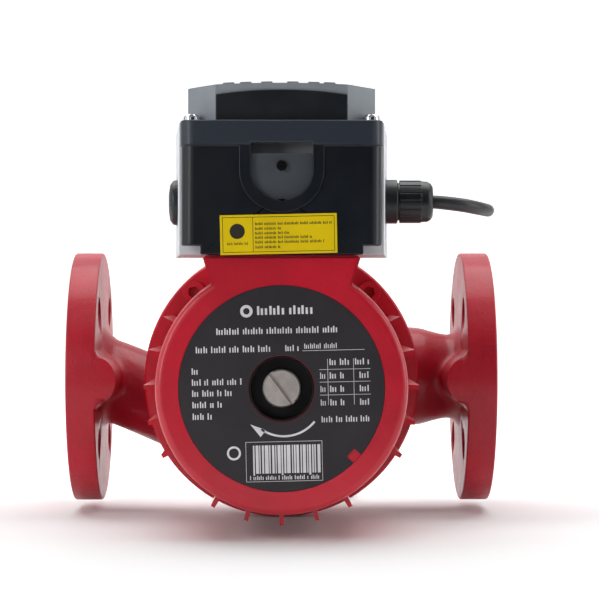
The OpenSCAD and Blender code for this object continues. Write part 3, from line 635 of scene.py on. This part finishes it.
for build in (cut_pipe_side(-1), cut_pipe_side(1), cut_inside, cut_waterways, cut_bolts):
    cut_or_join(casting, tool_of(build), "DIFFERENCE")
for polygon in casting.data.polygons:
    polygon.use_smooth = True
crisp = casting.modifiers.new("crisp", "WEIGHTED_NORMAL")
crisp.weight = CAST_WEIGHT
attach(casting, "pump")
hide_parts("pump_housing")

# ---------------------------------------------------------------- printed matter

PRINT_THICK, LABEL_PRINT_THICK = 0.05, 0.03
PRINT_TILT, LABEL_TILT = -1.3, -1.2
HAIRLINE = 0.22
LABEL_LINE = 0.3
ARC_POINTS, DISC_POINTS = 24, 32
# An arc this long closes to a ring.
RING = 359.9
# Strokes: their heights in turn, and the gaps between strokes and between groups, all as shares
# of a line's height; a line's groups repeat this often at most.
STROKE_HEIGHTS = (1.0, 0.74, 0.74, 1.0, 0.74)
STROKE_GAP, STROKE_GAP_MORE, GROUP_GAP = 0.16, 0.05, 0.42
GROUP_REPEATS = 9


def printed(name, look, face_y, thick, items, tilt, about=(0, 0)):
    """Flat printed shapes on a front face: each item is a closed outline of (x, z) points."""
    bm = bmesh.new()
    for outline in items:
        prism(bm, outline, face_y - thick, face_y)
    bmesh.ops.rotate(bm, verts=bm.verts, cent=Vector((about[0], 0, about[1])),
                     matrix=Matrix.Rotation(math.radians(tilt), 3, "Y"))
    return finish_mesh(bm, name, look, smooth=False)


def moved(outline, dx, dz):
    return [(x + dx, z + dz) for x, z in outline]


def bar(x0, x1, z, h):
    return [(x0, z - h / 2), (x1, z - h / 2), (x1, z + h / 2), (x0, z + h / 2)]


def post(x, z0, z1, w):
    return [(x - w / 2, z0), (x + w / 2, z0), (x + w / 2, z1), (x - w / 2, z1)]


def disc(x, z, r):
    return [(x + r * math.cos(2 * math.pi * k / DISC_POINTS),
             z + r * math.sin(2 * math.pi * k / DISC_POINTS)) for k in range(DISC_POINTS)]


def strokes(x0, x1, z, h, groups, weight):
    """Groups of upright strokes, some tall and some short, standing in for printed words."""
    out = []
    x = x0
    k = 0
    for count in groups * GROUP_REPEATS:
        for _ in range(count):
            if x + h * weight > x1:
                return out
            tall = h * STROKE_HEIGHTS[k % len(STROKE_HEIGHTS)]
            out.append(bar(x, x + h * weight, z - h / 2 + tall / 2, tall))
            x += h * (weight + STROKE_GAP + STROKE_GAP_MORE * (k % 3))
            k += 1
        x += h * GROUP_GAP
    return out


def arc_band(r0, r1, a0, a1):
    """The outline of a flat arc between two radii and two angles."""
    points = []
    for r, order in ((r0, range(ARC_POINTS + 1)), (r1, range(ARC_POINTS, -1, -1))):
        for k in order:
            a = math.radians(a0 + (a1 - a0) * k / ARC_POINTS)
            points.append((r * math.cos(a), r * math.sin(a)))
    return points


plate_low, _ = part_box("nameplate")
plate_face_y = (plate_low.y - CROSSING.y) / MM
# Places on the plate are in mm about the motor's axis. At its top: a ring and a heading with
# two lines below.
prints = [moved(arc_band(1.7, 3.3, 0, RING), -17.6, 41)]
prints += strokes(-12, 18, 41.2, 4.6, (7, 6), 0.26)
prints += strokes(-33.6, 31, 30.6, 3.4, (9, 8, 10), 0.2)
prints += strokes(-44.6, -5.6, 21.2, 3.4, (5, 6, 4), 0.19)
prints += strokes(2.4, 10.4, 21.2, 3.2, (4,), 0.19) + strokes(12.4, 30, 22, 2.7, (9,), 0.17)
prints += [bar(11.4, 44, 19.6, HAIRLINE)]
# Left of the vent plug: a list.
for z, width, groups in ((10, 5.2, (3,)), (4.2, 26.6, (4, 2, 5)), (-1.6, 21.4, (3, 5, 2)),
                         (-7.6, 15.6, (6, 2)), (-13.7, 10.4, (5,))):
    prints += strokes(-47, -47 + width, z, 3.3, groups, 0.19)
# Right of it: a ruled table of three rows under a heading, and a line below.
for z in (13.4, 6.3, -0.7, -7.8):
    heading_row = z > 13
    if not heading_row:
        prints += strokes(20.4, 23.6, z, 3.2, (3,), 0.14)
    prints += strokes(25.4, 37 if heading_row else 33.4, z, 3.3, (3, 4), 0.2)
    prints += strokes(38.8 if heading_row else 41, 46.4, z, 3.3, (4,), 0.2)
prints += [bar(20, 46.8, z, HAIRLINE) for z in (9.5, 2.9, -3.9)]
prints += [post(x, -9.2, 15, HAIRLINE) for x in (24.4, 38)]
prints += strokes(20.6, 46.4, -16.6, 3.2, (5, 3, 5), 0.19)
# Under the plug: a turning arrow, a ring, and the frame of the bar pattern with its foot line.
prints += [moved(arc_band(20.2, 21.3, -126, -40), 1, -4.3)]
prints += [[(-16.9, -18.4), (-11.6, -25.2), (-8.8, -21.6)]]
prints += [moved(arc_band(2.6, 3.7, 0, RING), -25.8, -33.4)]
prints += [bar(-19.6, 20.6, z, HAIRLINE) for z in (-27.8, -48.6)]
prints += [post(x, -48.6, -27.8, HAIRLINE) for x in (-19.5, 20.5)]
prints += strokes(-17.6, 18.8, -46.6, 2.2, (1, 6, 6), 0.22)
label_print = printed("nameplate_print", "print", plate_face_y, PRINT_THICK, prints, PRINT_TILT)
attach(label_print, "pump")

BAR_WIDTHS = (0.8, 1.5, 0.6, 1.0, 1.9, 0.7, 1.2, 0.6, 1.6, 0.8, 1.0, 1.9, 0.6, 0.9, 1.3, 0.7, 1.6,
              0.6, 1.1, 0.8)
BAR_GAPS = (0.6, 0.4, 0.8, 0.5, 0.4, 0.8, 0.5, 0.6, 0.4)
PATTERN_X, PATTERN_TOP = (-15.8, 19), -29.6
PATTERN_LOW, PATTERN_LONG = -44.4, -45.4


def bar_pattern():
    """Upright bars of uneven width and spacing, every ninth one longer, as a generic pattern."""
    out = []
    x, end = PATTERN_X
    i = 0
    while x < end:
        w = BAR_WIDTHS[i % len(BAR_WIDTHS)]
        low = PATTERN_LOW if i % 9 else PATTERN_LONG
        out.append([(x, low), (x + w, low), (x + w, PATTERN_TOP), (x, PATTERN_TOP)])
        x += w + BAR_GAPS[i % len(BAR_GAPS)]
        i += 1
    return out


ladder_print = printed("nameplate_bars", "print", plate_face_y, PRINT_THICK, bar_pattern(),
                       PRINT_TILT)
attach(ladder_print, "pump")

label_low, label_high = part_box("yellow_label")
label_face_y = (label_low.y - CROSSING.y) / MM
label_mid = (label_low + label_high) / 2 - CROSSING
LABEL_X, LABEL_Z = label_mid.x / MM, label_mid.z / MM
LABEL_HALF_W, LABEL_HALF_H = 29.2, 9.1
# A frame with a disc in its left field and lines in its right one.
rows = [bar(-LABEL_HALF_W, LABEL_HALF_W, LABEL_Z + z, LABEL_LINE)
        for z in (LABEL_HALF_H, -LABEL_HALF_H)]
rows += [post(x, LABEL_Z - LABEL_HALF_H, LABEL_Z + LABEL_HALF_H, LABEL_LINE)
         for x in (-LABEL_HALF_W, -13.4, LABEL_HALF_W)]
for z, width in ((5.6, 40), (3.1, 14), (0.7, 18), (-1.6, 30), (-4.0, 36), (-6.6, 13)):
    rows += strokes(-12.2, -12.2 + width, LABEL_Z + z, 1.5, (6, 9, 4, 11), 0.26)
rows += strokes(-27, -16, LABEL_Z - 4.6, 1.5, (5, 8), 0.2)
rows += [disc(-21.6, LABEL_Z + 1.8, 4.0)]
rows = [moved(outline, LABEL_X, 0) for outline in rows]
label_rows = printed("label_print", "ink", label_face_y, LABEL_PRINT_THICK, rows, LABEL_TILT,
                     (LABEL_X, LABEL_Z))
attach(label_rows, "pump")

# ---------------------------------------------------------------- supply cable

CABLE_D, CABLE_SIDES = 7.0, 20
CABLE_LENGTH = 1400.0
COIL_CENTRE = (0.0, 104.0)
COIL_Z = -75.7
COIL_R = 43.5
TURN_STEP = 7
TURN_RISE = 7.05
COIL_STEP = 12.0
FIRST_TURNS = 1200.0
# From the gland to the right and back, over the motor's joint, down behind the pump, to the coil.
ROUTE = [
    (83.6, -125, 101), (89, -125, 100.8), (102, -121.5, 99.4), (112.8, -111, 97.7),
    (117.2, -96.5, 97.3), (113.2, -81.8, 98.8), (103, -71, 101.2), (89, -66.8, 103),
    (76, -66.5, 103.4), (62, -66, 102), (48, -65, 98.7), (36, -61, 94.4), (26, -54, 90.2),
    (19, -44, 86.5), (15.5, -32, 83), (14, -18, 78), (14, -4, 70.5), (14.5, 10, 60),
    (16, 24, 45), (18, 35, 27), (20.5, 41.5, 7), (24, 44, -14), (28.5, 46, -34),
    (33, 50.5, -52), (37.5, 59.5, -66), (41, 70, -73), (43.2, 81, -75.5), (43.5, 92.5, -75.7),
]


def coil_point(angle):
    """The cable's middle at an angle along the coil: outer turn, inner turns, outer again.

    It steps in as the first turn ends, up a layer as the second ends, and out as the third ends."""
    r = COIL_R - TURN_STEP * ease(290, 360, angle) + TURN_STEP * ease(1010, 1080, angle)
    z = COIL_Z + TURN_RISE * ease(640, 720, angle)
    a = math.radians(angle)
    return Vector((COIL_CENTRE[0] + r * math.cos(a), COIL_CENTRE[1] + r * math.sin(a), z))


def length_of(points):
    return sum((b - a).length for a, b in zip(points, points[1:]))


coil_end = FIRST_TURNS
cable_path = None
while True:
    coil = [coil_point(a * COIL_STEP) for a in range(int(coil_end / COIL_STEP) + 1)]
    trial = smooth_path(ROUTE + coil, 6)
    if length_of(trial) >= CABLE_LENGTH:
        break
    cable_path = trial
    coil_end += COIL_STEP
spare = CABLE_LENGTH - length_of(cable_path)
heading = (cable_path[-1] - cable_path[-2]).normalized()
if spare > 0.5:
    cable_path.append(cable_path[-1] + heading * spare)

bm = bmesh.new()
sweep(bm, cable_path, [CABLE_D / 2] * len(cable_path), CABLE_SIDES)
cable = finish_mesh(bm, "supply_cord", "cable")
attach(cable, "pump")
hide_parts("supply_cable", "cable_coil")

# Four cores beyond the end of the sheath, with crimped ferrules.
CORE_R, CORE_PITCH, CORE_SIDES, FERRULE_SIDES = 0.95, 1.15, 10, 12
CORE_SPREAD = {"brown": (-1, -1), "black_lead": (-1, 1), "blue": (1, -1), "green": (1, 1)}
CORE_TURN, CORE_TURN_MORE = 70, 4
CORE_REST_R = 40
CORE_REST_Z = COIL_Z + TURN_RISE + 7.0
# Places along a ferrule from the core's tip, and its radius at each.
FERRULE_PLACES, FERRULE_RADII = (-1.5, 0.2, 0.6, 8), (1.25, 1.25, 0.8, 0.75)

end_point = cable_path[-1]
sheath_angle = math.degrees(math.atan2(end_point.y - COIL_CENTRE[1], end_point.x - COIL_CENTRE[0]))
core_pieces = []
side_dir = heading.cross(Vector((0, 0, 1))).normalized()
for i, (look, spread) in enumerate(CORE_SPREAD.items()):
    dx, dz = spread[0] * CORE_PITCH, spread[1] * CORE_PITCH
    start = end_point + side_dir * dx + Vector((0, 0, dz))
    span = CORE_TURN + CORE_TURN_MORE * i
    chain = [start - heading * 2, start + heading * 3]
    for k in range(1, 12):
        a = math.radians(sheath_angle + 6 + span * k / 11)
        r = CORE_REST_R + dx * 1.1 + (0.6 if k > 8 else 0)
        z = min(CORE_REST_Z + dz * 0.9, end_point.z + 2.2 * k)
        chain.append(Vector((COIL_CENTRE[0] + r * math.cos(a), COIL_CENTRE[1] + r * math.sin(a),
                             z)))
    line = smooth_path(chain, 4)
    bm = bmesh.new()
    sweep(bm, line, [CORE_R] * len(line), CORE_SIDES)
    core = finish_mesh(bm, f"core_{i + 1}", look)
    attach(core, "pump")
    tip_dir = (line[-1] - line[-2]).normalized()
    bm = bmesh.new()
    sweep(bm, [line[-1] + tip_dir * place for place in FERRULE_PLACES], FERRULE_RADII,
          FERRULE_SIDES)
    ferrule = finish_mesh(bm, f"core_ferrule_{i + 1}", "chrome")
    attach(ferrule, "pump")
    core_pieces += [core, ferrule]
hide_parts("core_ends")

# A flat strap round the coil's section, closed on itself.
TIE_ANGLE = 100.0
TIE_R = 40
TIE_HALF_W, TIE_CORNER = 7.25, 3.2
TIE_TOP, TIE_LOW = COIL_Z + TURN_RISE + 3.55, COIL_Z - 3.5
STRAP_LIFT, STRAP_THICK, STRAP_WIDTH = 0.05, 0.5, 8

tie_dir = Vector((math.cos(math.radians(TIE_ANGLE)), math.sin(math.radians(TIE_ANGLE)), 0))
across = Vector((-tie_dir.y, tie_dir.x, 0))
tie_mid = Vector((COIL_CENTRE[0], COIL_CENTRE[1], 0)) + tie_dir * TIE_R
loop = []
for sx, sz, a0 in ((1, 1, 0), (-1, 1, 90), (-1, -1, 180), (1, -1, 270)):
    mid_x = sx * (TIE_HALF_W - TIE_CORNER)
    mid_z = TIE_TOP - TIE_CORNER if sz > 0 else TIE_LOW + TIE_CORNER
    for k in range(6):
        a = math.radians(a0 + 18 * k)
        loop.append((mid_x + TIE_CORNER * math.cos(a), mid_z + TIE_CORNER * math.sin(a)))


def strap_rings(points):
    """The strap's four corners at each point of the loop that it lies on."""
    inner, outer = STRAP_LIFT, STRAP_LIFT + STRAP_THICK
    half = STRAP_WIDTH / 2
    out = []
    for i, (r, z) in enumerate(points):
        before, after = points[i - 1], points[(i + 1) % len(points)]
        n = Vector((after[1] - before[1], -(after[0] - before[0]))).normalized()
        out.append([
            tie_mid + tie_dir * (r + n.x * off) + across * w + Vector((0, 0, z + n.y * off))
            for off, w in ((inner, -half), (outer, -half), (outer, half), (inner, half))])
    return out


bm = bmesh.new()
made = [[bm.verts.new(p) for p in ring] for ring in strap_rings(loop)]
for i in range(len(made)):
    a, b = made[i], made[(i + 1) % len(made)]
    for k in range(4):
        bm.faces.new((a[k], a[(k + 1) % 4], b[(k + 1) % 4], b[k]))
tie = finish_mesh(bm, "coil_strap", "tie", smooth=False)
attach(tie, "pump")
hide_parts("coil_tie")

# ---------------------------------------------------------------- floor and light


# Metres. The paper lies flat, then turns up behind the object in a quarter circle.
PAPER_FRONT, PAPER_BEND, PAPER_TOP, PAPER_HALF_W = -0.7, 1.3, 3.2, 6.0
BEND_R = 0.8
PAPER_DROP = 0.0004
PAPER_DARK, PAPER_LIGHT = (0.86, 0.86, 0.87, 1), (0.9, 0.9, 0.9, 1)
# The paper glows more towards the back, as if lit from behind: stations, then strengths.
GLOW_Y, GLOW = (0.0, 0.9), (0.0, 0.6)


def stage_material():
    n = Nodes("stage_paper")
    drift = n.noise(3.0, 2.0, 0.5)
    n.plug("Base Color", n.mix(n.spread(drift, 0.3, 0.7, 0, 1), PAPER_DARK, PAPER_LIGHT))
    n.plug("Roughness", 0.7)
    n.plug("Specular IOR Level", 0.2)
    n.plug("Emission Color", (1, 1, 1, 1))
    height = n.add("ShaderNodeSeparateXYZ", Vector=n.coords).outputs["Y"]
    n.plug("Emission Strength", n.spread(height, *GLOW_Y, *GLOW))
    return n.material


bm = bmesh.new()
profile = [(PAPER_FRONT, 0.0), (PAPER_BEND, 0.0)]
for step in range(6, 91, 6):
    a = math.radians(step)
    profile.append((PAPER_BEND + BEND_R * math.sin(a), BEND_R - BEND_R * math.cos(a)))
profile.append((PAPER_BEND + BEND_R, PAPER_TOP))
columns = [[bm.verts.new((x, y, z)) for y, z in profile] for x in (-PAPER_HALF_W, PAPER_HALF_W)]
for k in range(len(profile) - 1):
    bm.faces.new((columns[0][k], columns[1][k], columns[1][k + 1], columns[0][k + 1]))
mesh = bpy.data.meshes.new("sweep")
bm.to_mesh(mesh)
bm.free()
for polygon in mesh.polygons:
    polygon.use_smooth = True
mesh.materials.append(stage_material())
backdrop = bpy.data.objects.new("sweep", mesh)
bpy.context.scene.collection.objects.link(backdrop)
backdrop.location.z = -PAPER_DROP


AIM = (0, -80, 20)
# Name, place in metres, width and height in metres, watts.
SOFTBOXES = [
    ("overhead", (0.0, 0.25, 1.2), (1.8, 0.9), 18),
    ("key_left", (-0.42, -1.45, 0.42), (0.28, 0.9), 0.8),
    ("left_45", (-1.05, -1.05, 0.55), (0.5, 1.1), 8),
    ("side_left", (-1.4, -0.3, 0.5), (0.6, 1.2), 4),
    ("right_45", (1.05, -1.05, 0.55), (0.5, 1.1), 1.5),
    ("side_right", (1.4, -0.3, 0.5), (0.6, 1.2), 8),
    ("top_front", (0.0, -0.85, 1.5), (1.4, 0.5), 1.5),
]


def softbox(name, place, size, power):
    data = bpy.data.lights.new(name, "AREA")
    data.shape = "RECTANGLE"
    data.size, data.size_y = size
    data.energy = power
    lamp = bpy.data.objects.new(name, data)
    lamp.location = place
    lamp.rotation_euler = (Vector(place) - at(*AIM)).to_track_quat("Z", "Y").to_euler()
    bpy.context.scene.collection.objects.link(lamp)


for box in SOFTBOXES:
    softbox(*box)

# Strength of the surroundings: in front, behind, and where the camera sees them.
WORLD_FRONT, WORLD_BACK, WORLD_SEEN = 0.03, 0.2, 1.0


def studio_world():
    """Bright behind the object and dark behind the camera, as in a studio with a lit backdrop."""
    world = bpy.data.worlds.new("studio")
    world.use_nodes = True
    tree = world.node_tree
    background = tree.nodes["Background"]
    background.inputs["Color"].default_value = (1, 1, 1, 1)
    where = tree.nodes.new("ShaderNodeTexCoord").outputs["Generated"]
    split = tree.nodes.new("ShaderNodeSeparateXYZ")
    tree.links.new(where, split.inputs[0])
    glow = tree.nodes.new("ShaderNodeMapRange")
    tree.links.new(split.outputs["Y"], glow.inputs["Value"])
    for key, value in (("From Min", 0.0), ("From Max", 0.6), ("To Min", WORLD_FRONT),
                       ("To Max", WORLD_BACK)):
        glow.inputs[key].default_value = value
    path = tree.nodes.new("ShaderNodeLightPath")
    pick = tree.nodes.new("ShaderNodeMix")
    tree.links.new(path.outputs["Is Camera Ray"], pick.inputs[0])
    tree.links.new(glow.outputs["Result"], pick.inputs[2])
    pick.inputs[3].default_value = WORLD_SEEN
    tree.links.new(pick.outputs[0], background.inputs["Strength"])
    return world


bpy.context.scene.world = studio_world()
bpy.context.scene.view_settings.view_transform = "Standard"
bpy.context.scene.view_settings.look = "None"
